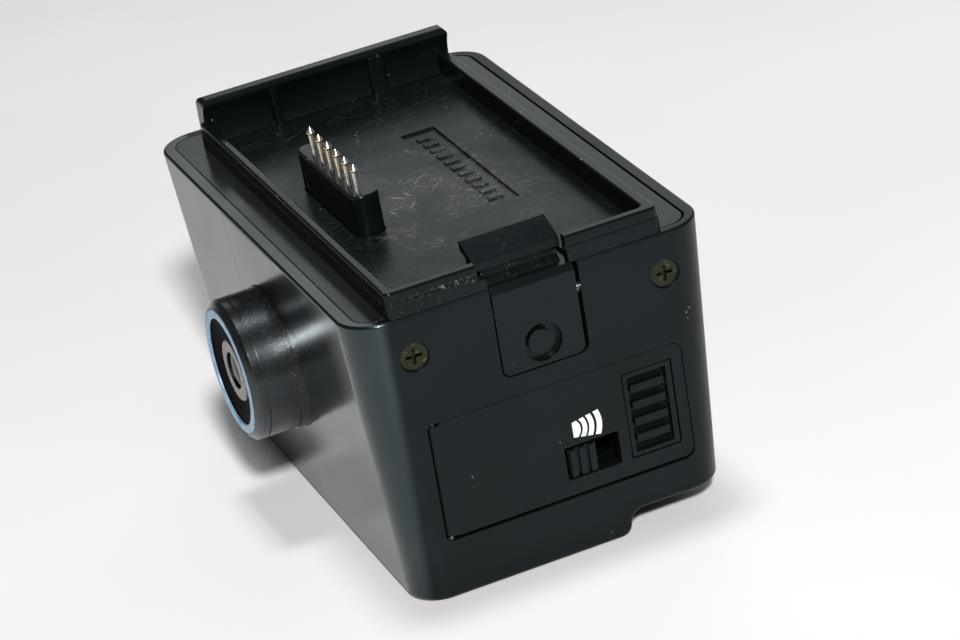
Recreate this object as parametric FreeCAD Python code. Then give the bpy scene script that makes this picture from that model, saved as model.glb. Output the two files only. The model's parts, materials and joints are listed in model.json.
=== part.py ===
"""Boxy action camera with a docking cradle on top, a side lens and a service door.

Frame: +Z up, millimetres. The origin lies on the flat base, straight below the crossing of the
lens axis with the middle plane of the housing. The lens looks along -X. The latch, the two cradle
screws and the service door are on the front face, which looks along -Y.
"""
import FreeCAD
import Part
import math
import os

V = FreeCAD.Vector
X_AXIS, Y_AXIS, Z_AXIS = V(1, 0, 0), V(0, 1, 0), V(0, 0, 1)

# ---------------------------------------------------------------- driving dimensions
WIDTH, DEPTH, HEIGHT = 51.0, 82.6, 42.7      # housing at its top edge, X, Y, Z
LENS_SIDE_DRAFT = 0.07                       # inward lean per mm of height, lens side
DRAFT = 0.055                                # the same on the other three sides
CORNER_R_TOP, CORNER_R_BASE = 5.5, 4.8       # plan radius of the vertical corners
WALL, FLOOR_T = 2.4, 2.4
BASE_EDGE_R = 0.7
TOP_EDGE_R = 0.35

STEP_X0, STEP_X1, STEP_H = 7.0, 10.8, 3.5    # raised step under the right-hand side
BEYOND = 5.0                                 # how far cutting tools reach past what they cut
PRESS = 0.02                                 # radial clearance of a pin pressed into plastic

PLATE_X0, PLATE_X1 = -23.5, 23.4             # cradle plate let into the top
PLATE_Y0, PLATE_Y1 = -39.75, 39.2
PLATE_T = 2.0
PLATE_R = 3.0
SEAM = 0.1
SEAM_WIDE = 0.35                             # the seam on the side away from the lens
BAY_FLOOR = 0.5                              # bay floor above the plate
RIM_X0, RIM_X1, RIM_Y0 = -20.0, 19.0, -41.05
RIM_H = 3.65
RIM_LEFT_T, RIM_RIGHT_T, RIM_FRONT_T = 1.5, 1.8, 1.7
RIM_FOOT_H, RIM_FOOT_OUT = 2.1, 0.15         # thicker lower band of the rim
RIM_EDGE_R = 0.35
RIM_CORNER_R, BAY_CORNER_R = 1.0, 0.8
RIM_GAP_X0, RIM_GAP_X1 = -7.1, 5.5            # gap in the front wall for the latch head
RIM_STUB_H = 1.5                              # low remainder of the wall left of the latch
HOOK_X0, HOOK_X1, HOOK_Y0 = -19.3, 19.2, 31.6  # ends and bay side of the rear hook
HOOK_H, HOOK_CORNER_R = 7.2, 1.1
HOOK_FOOT_T, HOOK_ROOT = 5.0, 1.5             # its thickness at the foot, and how deep it is rooted
HOOK_RIBS = ((-8.4, 0.7), (7.6, 1.3))         # middle and half width of each rib
HOOK_RIB_BACK, HOOK_RIB_R = 2.6, 0.45          # how far the ribs reach back, and their rounding
BADGE_X0, BADGE_X1, BADGE_Y0, BADGE_Y1 = 3.5, 8.6, -17.4, 14.5
BADGE_D, BADGE_BARS = 0.35, 11               # shallow pocket in the bay floor with raised bars
BADGE_BAR_SINK, BADGE_BAR_SHARE = 0.12, 0.45  # bar tops below the floor, bar width per pitch
BADGE_MARGIN = 1.5                            # from the pocket's edges to the bars

LATCH_X0, LATCH_X1 = -5.8, 5.9
LATCH_GAP_LEFT, LATCH_GAP_RIGHT, LATCH_GAP_BELOW = 0.25, 0.6, 0.22
LATCH_CORNER_R = 1.1
LATCH_NECK_X1, LATCH_HEAD_X0, LATCH_HEAD_X1 = 4.9, -6.8, 5.3
LATCH_BOTTOM = 29.6
LATCH_ROOM = 6.6                             # how far the room for the latch reaches back
LATCH_T = 1.6
PIVOT_DEPTH, PIVOT_Z = 2.0, 38.2
PIVOT_R = 0.75
PIN_REACH = 2.5                              # how far the pivot pin reaches past the latch
CHEEK_W, CHEEK_HALF_H = 3.2, 2.0             # blocks beside the latch that hold the pin
CHEEK_Y0, CHEEK_Y1 = 1.0, 4.4                # their depth behind the top edge of the front
RUNNING = 0.05                               # radial clearance of a turning fit
COIL_R, COIL_WIRE_R, COIL_HALF_W = 1.25, 0.2, 1.35
KEEPER_Y, KEEPER_W = -35.6, 5.0
LATCH_MARK_Z, LATCH_MARK_X = 32.9, 0.2
LATCH_MARK_R, LATCH_MARK_INNER_R, LATCH_MARK_D = 2.75, 1.75, 1.0
LATCH_MARK_OFF = 0.3                         # the round island sits off the middle of its groove

SCREW_X = (-17.4, 18.4)
SCREW_Z = 36.8
SCREW_HEAD_R, SCREW_R, SCREW_L = 1.95, 0.95, 8.0
SCREW_SINK, SCREW_HEAD_H = 0.3, 1.2          # how deep the head lies, and how tall it is
CROSS_L, CROSS_W = 1.15, 0.24                # half length and half width of the cross slot
BOSS_HALF_W, BOSS_HALF_H = 2.1, 2.6          # bosses under the cradle plate that take the screws
TONGUE_HALF_W, TONGUE_T = 8.5, 1.7           # tongue that holds the plate down at the back

CONTACTS = 6
CONTACT_X, CONTACT_Y0, CONTACT_PITCH = -12.55, -13.9, 3.4
CONTACT_TIP = HEIGHT + 10.8
BLOCK_X0, BLOCK_X1, BLOCK_Y0, BLOCK_Y1 = -13.9, -9.7, -15.1, 8.2
BLOCK_TOP, BLOCK_R, BLOCK_GAP = HEIGHT + 6.4, 1.7, 0.1
BLOCK_FLANGE_Z0, BLOCK_FLANGE_T, BLOCK_FLANGE_W = 39.3, 1.4, 1.6
CONTACT_HEAD_R, CONTACT_STEM_R = 0.58, 0.31
CONTACT_COLLAR_R, CONTACT_COLLAR_T, CONTACT_COLLAR_TOP = 0.5, 1.2, 46.4
CONTACT_FIT = 0.06                           # radial clearance of stem and collar in the block
CONTACT_BOARD_T = 1.1

DOOR_X0, DOOR_X1, DOOR_V0, DOOR_V1 = -17.5, 19.2, 8.6, 26.5
DOOR_R, DOOR_HINGE_SIDE_R, DOOR_T = 1.5, 1.0, 1.6
DOOR_GAP, DOOR_GAP_TOP, DOOR_GAP_BELOW = 0.15, 0.08, 0.5
HINGE_R = DOOR_T / 2
HINGE_PIN_R, HINGE_PIN_REACH = 0.4, 1.3
RELEASE_X0, RELEASE_X1, RELEASE_V0, RELEASE_V1 = 10.1, 17.5, 11.4, 24.4
RELEASE_RIBS, RELEASE_RIB_H, RELEASE_POCKET_D = 4, 1.15, 1.05
RELEASE_RIM, RELEASE_RIM_RIGHT, RELEASE_FLANGE = 0.7, 1.0, 0.7
KNOB_SLOT_X0, KNOB_SLOT_X1, KNOB_SLOT_V0, KNOB_SLOT_V1 = 0.7, 8.6, 11.4, 16.4
KNOB_W, KNOB_LEFT_GAP, KNOB_GAP_ABOVE = 4.05, 0.65, 0.8
KNOB_RIBS, KNOB_RIB_W, KNOB_RIB_PITCH = 3, 0.85, 1.4
KNOB_FACE_D, KNOB_RIB_D, KNOB_BACK_D, KNOB_STEM_D = 0.75, 0.15, 2.4, 6.4
STEM_X0, STEM_X1, STEM_V0, STEM_V1 = 1.3, 3.0, 13.1, 14.9
SOUND_MARK_BANDS = ((0.1, 1.74), (2.05, 2.7), (3.0, 3.7), (4.08, 4.85))   # horn, then three waves
BEZEL_D, BEZEL_T, BEZEL_LAP = 3.5, 1.5, 1.6  # port bezel behind the door
PORTS_D = BEZEL_D + BEZEL_T + 0.3            # depth at which the sockets start
USB_X, USB_W, USB_H = -9.0, 7.6, 2.7
CARD_X, CARD_W, CARD_H = -9.0, 11.6, 1.5
CARD_BOARD_Z, CARD_BOARD_T = 17.0, 1.0

LENS_Y, LENS_Z = 0.0, 23.4
BARREL_R, BARREL_COLLAR_R = 10.2, 10.4
BARREL_FRONT = -31.7
RING_R, RING_BORE_R, MASK_R = 9.1, 7.75, 7.95
BARREL_FLANGE_R, BARREL_FLANGE_AT, BARREL_FLANGE_T = 11.8, 11.0, 1.2   # AT: behind the front
BARREL_LIP, BARREL_LINE_AT, BARREL_LINE_W = 0.45, 1.9, 0.25   # bevel steps and grip line
BARREL_NECK_AT, BARREL_NECK_D, BARREL_SEAT_AT = 6.3, 0.2, 1.4  # shadow groove and mask seat
OSEAL_HALF_W, SLIDE_FIT = 0.6, 0.1
RETAINER_R, PUPIL_R = 4.5, 2.65
OSEAL_X, OSEAL_BED_R, OSEAL_R = -22.95, 9.5, 0.46   # seal ring in the wall round the barrel
PANEL_HALF_W, PANEL_T = 10.6, 1.2             # strip let into the wall above the barrel
PANEL_BOTTOM, PANEL_TOP, PANEL_GAP = LENS_Z + 2.5, HEIGHT - 0.5, 0.08
LENS_HOLE_R = BARREL_COLLAR_R + 0.05
RING_T, MASK_T = 0.25, 1.1
RETAINER_T, GLASS_SINK, GLASS_BULGE = 0.35, 0.1, 0.3   # the glass stands back from the ring round it
CELL_R, CELL_BORE_R, CELL_THREAD_R = 6.0, 3.3, 5.2

HOLDER_X0, HOLDER_X1, HOLDER_HALF = BARREL_FRONT + 14.2, BARREL_FRONT + 23.0, 7.0
HOLDER_ROOM_HALF, HOLDER_NECK = 5.0, 5.0      # room for filter and sensor behind the thread
SENSOR_T, SENSOR_HALF_W, SENSOR_HALF_H = 1.2, 3.8, 3.2
SENSOR_BOARD_T, FLEX_T, FLEX_HALF_W = 1.0, 0.3, 4.0

BOARD_Z, BOARD_T = 8.6, 1.2
BOARD_TOP = BOARD_Z + BOARD_T
BOARD_X0, BOARD_X1, BOARD_Y0, BOARD_Y1 = -18.0, 18.6, -33.4, 34.6
BOARD_POSTS = [(-15.5, -24.0), (16.0, -24.0), (-15.5, 32.0), (16.0, 32.0)]
POST_R, POST_BORE_R, POST_BORE_D = 2.2, 0.75, 2.5
BOARD_SCREW_R, BOARD_SCREW_HEAD_R, BOARD_SCREW_HEAD_H = 0.72, 1.5, 0.9
BATTERY = (-4.2, 20.2, -13.0, 34.0, 16.0, 37.2)
BATTERY_EDGE_R, TRAY_WALL, TRAY_FLOOR_T, TRAY_WALL_H, TRAY_GAP = 1.5, 1.2, 1.4, 3.0, 0.15

LEAN = math.degrees(math.atan(DRAFT))
FRONT_FOOT_Y = -DEPTH / 2 + DRAFT * HEIGHT   # where the front face meets the base


# ---------------------------------------------------------------- small helpers
def box(x0, x1, y0, y1, z0, z1):
    return Part.makeBox(x1 - x0, y1 - y0, z1 - z0, V(x0, y0, z0))


def cylinder(x, y, z, radius, length, axis=Z_AXIS):
    return Part.makeCylinder(radius, length, V(x, y, z), axis)


def tube(x, y, z, outer, inner, length, axis=Z_AXIS):
    return cylinder(x, y, z, outer, length, axis).cut(cylinder(x, y, z, inner, length, axis))


def rounded_wire(x0, x1, y0, y1, r, z):
    """Rounded rectangle in a plane of constant z, anticlockwise from its left edge."""
    s = r * (1 - math.sqrt(0.5))
    lines = [(V(x0 + r, y0, z), V(x1 - r, y0, z)), (V(x1, y0 + r, z), V(x1, y1 - r, z)),
             (V(x1 - r, y1, z), V(x0 + r, y1, z)), (V(x0, y1 - r, z), V(x0, y0 + r, z))]
    middles = [V(x1 - s, y0 + s, z), V(x1 - s, y1 - s, z), V(x0 + s, y1 - s, z), V(x0 + s, y0 + s, z)]
    edges = []
    for i, (start, end) in enumerate(lines):
        edges.append(Part.LineSegment(start, end).toShape())
        edges.append(Part.Arc(end, middles[i], lines[(i + 1) % 4][0]).toShape())
    return Part.Wire(edges)


def rounded_prism(x0, x1, y0, y1, r, z0, z1):
    return Part.Face(rounded_wire(x0, x1, y0, y1, r, z0)).extrude(V(0, 0, z1 - z0))


def front_prism(x0, x1, v0, v1, r, d0, d1):
    """Rounded rectangle in the plane of the front face, from depth d0 to depth d1 behind it."""
    shape = rounded_prism(x0, x1, -v1, -v0, r, d0, d1)
    shape.rotate(V(0, 0, 0), X_AXIS, -90)
    return shape


def on_front(shape):
    """Moves a shape from the flat drawing plane y = 0 onto the leaning front face."""
    placed = shape.copy()
    placed.rotate(V(0, 0, 0), X_AXIS, LEAN)
    placed.translate(V(0, FRONT_FOOT_Y, 0))
    return placed


def profile_yz(points, x0, x1):
    """Closed polygon of (y, z) points, extruded from x0 to x1."""
    wire = Part.makePolygon([V(x0, y, z) for y, z in points + points[:1]])
    return Part.Face(wire).extrude(V(x1 - x0, 0, 0))


def turned_x(points):
    """Closed outline of (x, radius) points, revolved about the lens axis."""
    wire = Part.makePolygon([V(x, LENS_Y, LENS_Z + r) for x, r in points + points[:1]])
    return Part.Face(wire).revolve(V(0, LENS_Y, LENS_Z), X_AXIS, 360)


def fuse_all(shapes):
    result = shapes[0]
    for shape in shapes[1:]:
        result = result.fuse(shape)
    return result.removeSplitter()


def fillet_where(shape, radius, test):
    """Rounds the edges whose midpoint passes the test."""
    picked = []
    for edge in shape.Edges:
        middle = edge.valueAt((edge.FirstParameter + edge.LastParameter) / 2)
        if test(middle, edge):
            picked.append(edge)
    return shape.makeFillet(radius, picked)


# ---------------------------------------------------------------- housing
def outline(z, inset):
    """Plan outline of the drafted housing at height z, moved inwards by inset."""
    fall = HEIGHT - z
    x0 = -WIDTH / 2 + LENS_SIDE_DRAFT * fall + inset
    x1 = WIDTH / 2 - DRAFT * fall - inset
    y1 = DEPTH / 2 - DRAFT * fall - inset
    share = z / HEIGHT
    radius = CORNER_R_BASE + (CORNER_R_TOP - CORNER_R_BASE) * share - inset
    return rounded_wire(x0, x1, -y1, y1, max(radius, 1.0), z)


def drafted_block(z0, z1, inset):
    return Part.makeLoft([outline(z0, inset), outline(z1, inset)], True, True)


def step_cut():
    """Space under the raised right-hand part of the base, with its S-shaped riser."""
    x_mid, z_mid = (STEP_X0 + STEP_X1) / 2, STEP_H / 2
    chord = math.hypot(x_mid - STEP_X0, z_mid)
    turn = 2 * math.atan2(z_mid, x_mid - STEP_X0)
    radius = chord / (2 * math.sin(turn / 2))
    y = -DEPTH / 2 - BEYOND

    def on_lower(angle):
        return V(STEP_X0 + radius * math.sin(angle), y, radius * (1 - math.cos(angle)))

    def on_upper(angle):
        return V(STEP_X1 - radius * math.sin(angle), y, STEP_H - radius * (1 - math.cos(angle)))

    right = WIDTH / 2 + BEYOND
    edges = [Part.Arc(on_lower(0), on_lower(turn / 2), on_lower(turn)).toShape(),
             Part.Arc(on_upper(turn), on_upper(turn / 2), on_upper(0)).toShape(),
             Part.LineSegment(on_upper(0), V(right, y, STEP_H)).toShape(),
             Part.LineSegment(V(right, y, STEP_H), V(right, y, -BEYOND)).toShape(),
             Part.LineSegment(V(right, y, -BEYOND), V(STEP_X0, y, -BEYOND)).toShape(),
             Part.LineSegment(V(STEP_X0, y, -BEYOND), on_lower(0)).toShape()]
    return Part.Face(Part.Wire(edges)).extrude(V(0, DEPTH + 2 * BEYOND, 0))


def outer_body():
    body = drafted_block(0, HEIGHT, 0).cut(step_cut())
    body = fillet_where(body, BASE_EDGE_R, lambda m, e: m.z < 0.01 and e.Length > 1)
    return fillet_where(body, TOP_EDGE_R, lambda m, e: m.z > HEIGHT - 0.01)


def latch_opening():
    return on_front(front_prism(LATCH_X0 - LATCH_GAP_LEFT, LATCH_X1 + LATCH_GAP_RIGHT,
                                LATCH_BOTTOM - LATCH_GAP_BELOW, HEIGHT + 6, LATCH_CORNER_R + 0.3, -2,
                                WALL + 0.8))


def panel_zone(gap):
    """The leaning strip of the lens side that the lens panel fills."""
    half, z0, z1, deep = PANEL_HALF_W + gap, PANEL_BOTTOM - gap, PANEL_TOP + gap, PANEL_T + gap

    def side_x(z):
        return -WIDTH / 2 + LENS_SIDE_DRAFT * (HEIGHT - z)

    points = [(side_x(z0), z0), (side_x(z1), z1), (side_x(z1) + deep, z1), (side_x(z0) + deep, z0)]
    wire = Part.makePolygon([V(x, -half, z) for x, z in points + points[:1]])
    return Part.Face(wire).extrude(V(0, 2 * half, 0))


def lens_hole():
    return cylinder(-WIDTH, LENS_Y, LENS_Z, LENS_HOLE_R, WIDTH - 15, X_AXIS)


def latch_cheeks():
    """Two blocks inside the front wall that hold the ends of the latch pin."""
    cheeks = []
    for x0, x1 in ((LATCH_X0 - CHEEK_W, LATCH_X0 - LATCH_GAP_LEFT),
                   (LATCH_X1 + LATCH_GAP_RIGHT, LATCH_X1 + CHEEK_W)):
        cheeks.append(box(x0, x1, -DEPTH / 2 + CHEEK_Y0, -DEPTH / 2 + CHEEK_Y1, PIVOT_Z - CHEEK_HALF_H,
                          PIVOT_Z + CHEEK_HALF_H + 0.1))
    return cheeks


def latch_pin_bore():
    reach = PIN_REACH + 0.1
    return cylinder(LATCH_X0 - reach, -DEPTH / 2 + PIVOT_DEPTH, PIVOT_Z, PIVOT_R + PRESS / 2,
                    LATCH_X1 - LATCH_X0 + 2 * reach + 0.2, X_AXIS)


def hinge_pin_bore():
    reach = HINGE_PIN_REACH + 0.1
    return on_front(cylinder(DOOR_X0 + DOOR_GAP + HINGE_R, HINGE_R, DOOR_V0 - reach, HINGE_PIN_R + PRESS,
                             DOOR_V1 - DOOR_V0 + 2 * reach))


def screw_seat(x):
    """Recess, countersink and through bore for one cradle screw."""
    clear, around = 0.1, 0.15
    recess = cylinder(x, -1, SCREW_Z, SCREW_HEAD_R + around, 1.2, Y_AXIS)
    sink = Part.makeCone(SCREW_HEAD_R + around, SCREW_R + clear, 1.3, V(x, 0.2, SCREW_Z), Y_AXIS)
    bore = cylinder(x, -1, SCREW_Z, SCREW_R + clear, SCREW_L + 1, Y_AXIS)
    return on_front(fuse_all([sink, recess, bore]))


def plate_recess():
    return rounded_prism(PLATE_X0 - SEAM, PLATE_X1 + SEAM_WIDE, PLATE_Y0 - SEAM, PLATE_Y1 + SEAM,
                         PLATE_R + SEAM, HEIGHT - PLATE_T, HEIGHT + 1)


def tongue_slot():
    """Slot in the rear wall for the tongue of the cradle."""
    under_plate, wider = HEIGHT - PLATE_T, 0.5
    return box(-TONGUE_HALF_W - wider, TONGUE_HALF_W + wider, DEPTH / 2 - 4, DEPTH / 2 - 0.95,
               under_plate - TONGUE_T - 0.2, under_plate + 0.1)


def board_posts():
    posts = []
    for x, y in BOARD_POSTS:
        floor = STEP_H + FLOOR_T if x > STEP_X0 else FLOOR_T
        posts.append(cylinder(x, y, floor - 0.5, POST_R, BOARD_Z - floor + 0.5))
    return posts


def housing():
    cavity = drafted_block(FLOOR_T, HEIGHT, WALL)
    cavity = cavity.cut(box(STEP_X0 - 2.0, WIDTH, -DEPTH, DEPTH, 0, STEP_H + FLOOR_T))
    body = outer_body().cut(cavity).cut(plate_recess())
    body = body.cut(panel_zone(PANEL_GAP)).cut(lens_hole())
    body = fuse_all([body] + latch_cheeks())
    body = body.cut(latch_opening()).cut(latch_pin_bore())
    body = body.cut(on_front(door_outline(0, 0, 0, -2, WALL + 3))).cut(hinge_pin_bore())
    for x in SCREW_X:
        body = body.cut(screw_seat(x))
    body = fuse_all([body.cut(tongue_slot())] + board_posts())
    for x, y in BOARD_POSTS:
        body = body.cut(cylinder(x, y, BOARD_Z - POST_BORE_D, POST_BORE_R, POST_BORE_D + 1.5))
    return body


def lens_panel():
    return panel_zone(0.0).cut(lens_hole())


# ---------------------------------------------------------------- cradle on the top
def rim():
    """Wall round three sides of the bay, with a thicker foot band and a gap for the latch."""
    top, foot, rear = HEIGHT + RIM_H, HEIGHT + RIM_FOOT_H, HOOK_Y0 + HOOK_FOOT_T - 2.0
    upper = rounded_prism(RIM_X0 + RIM_FOOT_OUT, RIM_X1 - RIM_FOOT_OUT, RIM_Y0 + RIM_FOOT_OUT, rear,
                          RIM_CORNER_R - 0.1, HEIGHT, top)
    lower = rounded_prism(RIM_X0, RIM_X1, RIM_Y0, rear, RIM_CORNER_R, HEIGHT, foot)
    wall = fuse_all([upper, lower])
    wall = fillet_where(wall, RIM_EDGE_R, lambda m, e: m.z > top - 0.01)
    bay = rounded_prism(RIM_X0 + RIM_LEFT_T, RIM_X1 - RIM_RIGHT_T, RIM_Y0 + RIM_FRONT_T, rear + BEYOND,
                        BAY_CORNER_R, HEIGHT - 1, top + BEYOND)
    wall = wall.cut(bay)
    wall = fillet_where(wall, RIM_EDGE_R, lambda m, e: m.z > top - 0.01 and e.Length > 5)
    wall = wall.cut(box(RIM_GAP_X0, RIM_GAP_X1, RIM_Y0 - BEYOND, RIM_Y0 + 2 * RIM_FRONT_T,
                        HEIGHT - BEYOND, top + BEYOND))
    stub = box(RIM_GAP_X0 - 0.1, LATCH_X0 - LATCH_GAP_LEFT, RIM_Y0, RIM_Y0 + RIM_FRONT_T, HEIGHT,
               HEIGHT + RIM_STUB_H)
    return fuse_all([wall, stub])


def rear_hook():
    """Tall lip across the back of the bay, hollowed on the bay side and curling forwards."""

    def at(back, up):
        return V(HOOK_X0, HOOK_Y0 + back, HEIGHT + up)

    foot0, hollow = at(0, -HOOK_ROOT), at(1.95, 3.3)
    lip0, lip, lip1 = at(0.95, 6.2), at(0.98, 6.9), at(1.6, 7.25)
    back0, back, back1, foot1 = at(3.1, HOOK_H), at(4.0, 6.8), at(4.4, 5.8), at(HOOK_FOOT_T, -HOOK_ROOT)
    edges = [Part.Arc(foot0, hollow, lip0).toShape(),
             Part.Arc(lip0, lip, lip1).toShape(),
             Part.LineSegment(lip1, back0).toShape(),
             Part.Arc(back0, back, back1).toShape(),
             Part.LineSegment(back1, foot1).toShape(),
             Part.LineSegment(foot1, foot0).toShape()]
    hook = Part.Face(Part.Wire(edges)).extrude(V(HOOK_X1 - HOOK_X0, 0, 0))
    hook = hook.common(front_prism(HOOK_X0, HOOK_X1, HEIGHT - BEYOND, HEIGHT + HOOK_H + 0.1, HOOK_CORNER_R,
                                   HOOK_Y0 - 1, HOOK_Y0 + HOOK_FOOT_T + 1))
    side = [at(0.25, -1), at(0.95, 3.4), at(0.75, 6.2), at(HOOK_RIB_BACK, 6.2), at(HOOK_RIB_BACK, -1)]
    ribs = []
    for x, half in HOOK_RIBS:
        rib = profile_yz([(p.y, p.z) for p in side], x - half, x + half)
        ribs.append(fillet_where(rib, HOOK_RIB_R, lambda m, e: m.y < HOOK_Y0 + 1.0 and abs(m.x - x) > 0.01))
    return fuse_all([hook] + ribs)


def screw_boss(x):
    return box(x - BOSS_HALF_W, x + BOSS_HALF_W, -DEPTH / 2 + WALL + 0.6, -DEPTH / 2 + 9.5,
               SCREW_Z - BOSS_HALF_H, HEIGHT - PLATE_T + 0.2)


def cradle_tongue():
    """Tongue below the plate's rear edge that hooks into the rear wall of the housing."""
    under_plate = HEIGHT - PLATE_T
    return box(-TONGUE_HALF_W, TONGUE_HALF_W, PLATE_Y1 - 3, DEPTH / 2 - 1.2, under_plate - TONGUE_T,
               under_plate)


def latch_room():
    """Space in the plate for the latch, and in the bay floor for its neck, which rises as it tilts."""
    front, back = -DEPTH / 2, -DEPTH / 2 + LATCH_ROOM
    below = box(LATCH_X0 - LATCH_GAP_LEFT, LATCH_X1 + LATCH_GAP_RIGHT, 2 * front, back, HEIGHT - 5, HEIGHT)
    above = box(RIM_GAP_X0 + 0.1, LATCH_X1 + 0.2, RIM_Y0 + RIM_FRONT_T, back, HEIGHT - 0.01,
                HEIGHT + BAY_FLOOR + 1)
    return fuse_all([below, above])


def cradle():
    plate = rounded_prism(PLATE_X0, PLATE_X1, PLATE_Y0, PLATE_Y1, PLATE_R, HEIGHT - PLATE_T, HEIGHT)
    floor = box(RIM_X0 + RIM_LEFT_T / 2, RIM_X1 - RIM_RIGHT_T / 2, RIM_Y0 + RIM_FRONT_T,
                HOOK_Y0 + HOOK_RIB_BACK, HEIGHT - 1, HEIGHT + BAY_FLOOR)
    bosses = [screw_boss(x) for x in SCREW_X]
    body = fuse_all([plate, floor, rim(), rear_hook(), cradle_tongue()] + bosses)
    body = body.cut(latch_room())
    body = body.cut(rounded_prism(BLOCK_X0 - BLOCK_GAP, BLOCK_X1 + BLOCK_GAP, BLOCK_Y0 - BLOCK_GAP,
                                  BLOCK_Y1 + BLOCK_GAP, BLOCK_R + BLOCK_GAP, HEIGHT - 5, HEIGHT + 5))
    for x in SCREW_X:
        body = body.cut(on_front(cylinder(x, -1, SCREW_Z, SCREW_R + PRESS, SCREW_L + 2, Y_AXIS)))
    return body.cut(badge_pocket())


def badge_pocket():
    """Shallow pocket in the bay floor that leaves a row of plain raised bars standing."""
    top = HEIGHT + BAY_FLOOR
    pocket = box(BADGE_X0, BADGE_X1, BADGE_Y0, BADGE_Y1, top - BADGE_D, top + 1)
    pitch = (BADGE_Y1 - BADGE_Y0 - 2 * BADGE_MARGIN) / BADGE_BARS
    for i in range(BADGE_BARS):
        y = BADGE_Y0 + BADGE_MARGIN + (i + (1 - BADGE_BAR_SHARE) / 2) * pitch
        pocket = pocket.cut(box(BADGE_X0 + BADGE_MARGIN, BADGE_X1 - BADGE_MARGIN, y,
                                y + BADGE_BAR_SHARE * pitch, 0, top - BADGE_BAR_SINK))
    return pocket


def cradle_screws():
    screws = []
    for x in SCREW_X:
        head = Part.makeCone(SCREW_HEAD_R, SCREW_R, SCREW_HEAD_H, V(x, SCREW_SINK, SCREW_Z), Y_AXIS)
        shank = cylinder(x, 1.0, SCREW_Z, SCREW_R, SCREW_L - 1.0, Y_AXIS)
        screw = fuse_all([head, shank])
        for dx, dz in ((CROSS_L, CROSS_W), (CROSS_W, CROSS_L)):
            screw = screw.cut(box(x - dx, x + dx, 0, 1.0, SCREW_Z - dz, SCREW_Z + dz))
        screws.append(on_front(screw))
    return Part.makeCompound(screws)


# ---------------------------------------------------------------- front latch
def latch_tab(y0, face_y):
    """Push tab flush with the front face, with a step over the top edge and a block round the pin."""
    top, step_back, block_back = HEIGHT - 0.05, y0 + 6.0, y0 + 3.4
    block_top, block_bottom, slope_end = top - 2.6, PIVOT_Z - 1.8, PIVOT_Z - 3.6
    tab = profile_yz([(face_y(LATCH_BOTTOM), LATCH_BOTTOM), (face_y(41.6), 41.6), (y0 + 0.45, top),
                      (step_back, top), (step_back, top - 1.6), (block_back, block_top),
                      (block_back, block_bottom), (face_y(34) + LATCH_T, slope_end),
                      (face_y(LATCH_BOTTOM) + LATCH_T, LATCH_BOTTOM)], LATCH_X0, LATCH_X1)
    corner = [e for e in tab.Edges if abs(e.Vertexes[0].Z - LATCH_BOTTOM) < 0.01
              and abs(e.Vertexes[-1].Z - LATCH_BOTTOM) < 0.01
              and abs(e.Vertexes[0].X - e.Vertexes[-1].X) < 0.01]
    return tab.makeFillet(LATCH_CORNER_R, corner)


def latch_hook(y0, face_y):
    """Neck over the housing's edge, and the head that reaches over the bay."""

    def at(back, up):
        return (y0 + back, HEIGHT + up)

    neck = profile_yz([(face_y(41.3), 41.3), at(2.7, 0.75), at(3.0, 1.2), at(3.0, 3.2), at(4.9, 3.2),
                       at(4.9, -1.2), at(0.8, -1.7)], LATCH_X0 + 0.1, LATCH_NECK_X1)
    head = profile_yz([at(2.1, 1.95), at(2.3, 3.1), at(2.9, 3.5), at(6.2, 5.0), at(6.7, 4.7), at(6.5, 3.5),
                       at(4.9, 3.1), at(4.9, 1.6), at(3.0, 1.5)], LATCH_HEAD_X0, LATCH_HEAD_X1)
    head = fillet_where(head, 0.25, lambda m, e: m.z > HEIGHT + 3.05 and e.Length > 5)
    return fuse_all([neck, head])


def latch_mark(face_y):
    """Round push groove, wider on its right."""
    y, long = face_y(LATCH_MARK_Z) + LATCH_MARK_D, 3.0
    groove = cylinder(LATCH_MARK_X, y - long, LATCH_MARK_Z, LATCH_MARK_R, long, Y_AXIS)
    island = cylinder(LATCH_MARK_X - LATCH_MARK_OFF, y - long, LATCH_MARK_Z + LATCH_MARK_OFF / 2,
                      LATCH_MARK_INNER_R, long, Y_AXIS)
    return groove.cut(island)


def release_latch():
    """Push tab in the front face, a flat step over the top edge, and a hook over the bay."""
    y0 = -DEPTH / 2

    def face_y(z):
        return y0 + DRAFT * (HEIGHT - z)

    latch = fuse_all([latch_tab(y0, face_y), latch_hook(y0, face_y)]).cut(latch_mark(face_y))
    half_w, half_h = COIL_HALF_W + 0.2, COIL_R + 0.2
    coil_room = box(-half_w, half_w, y0 + PIVOT_DEPTH - half_h, y0 + 5.0, PIVOT_Z - half_h,
                    PIVOT_Z + half_h)
    latch = latch.cut(coil_room)
    return latch.cut(cylinder(-20, y0 + PIVOT_DEPTH, PIVOT_Z, PIVOT_R + RUNNING, 40, X_AXIS))


def latch_pin():
    return cylinder(LATCH_X0 - PIN_REACH, -DEPTH / 2 + PIVOT_DEPTH, PIVOT_Z, PIVOT_R,
                    LATCH_X1 - LATCH_X0 + 2 * PIN_REACH + 0.2, X_AXIS)


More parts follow.
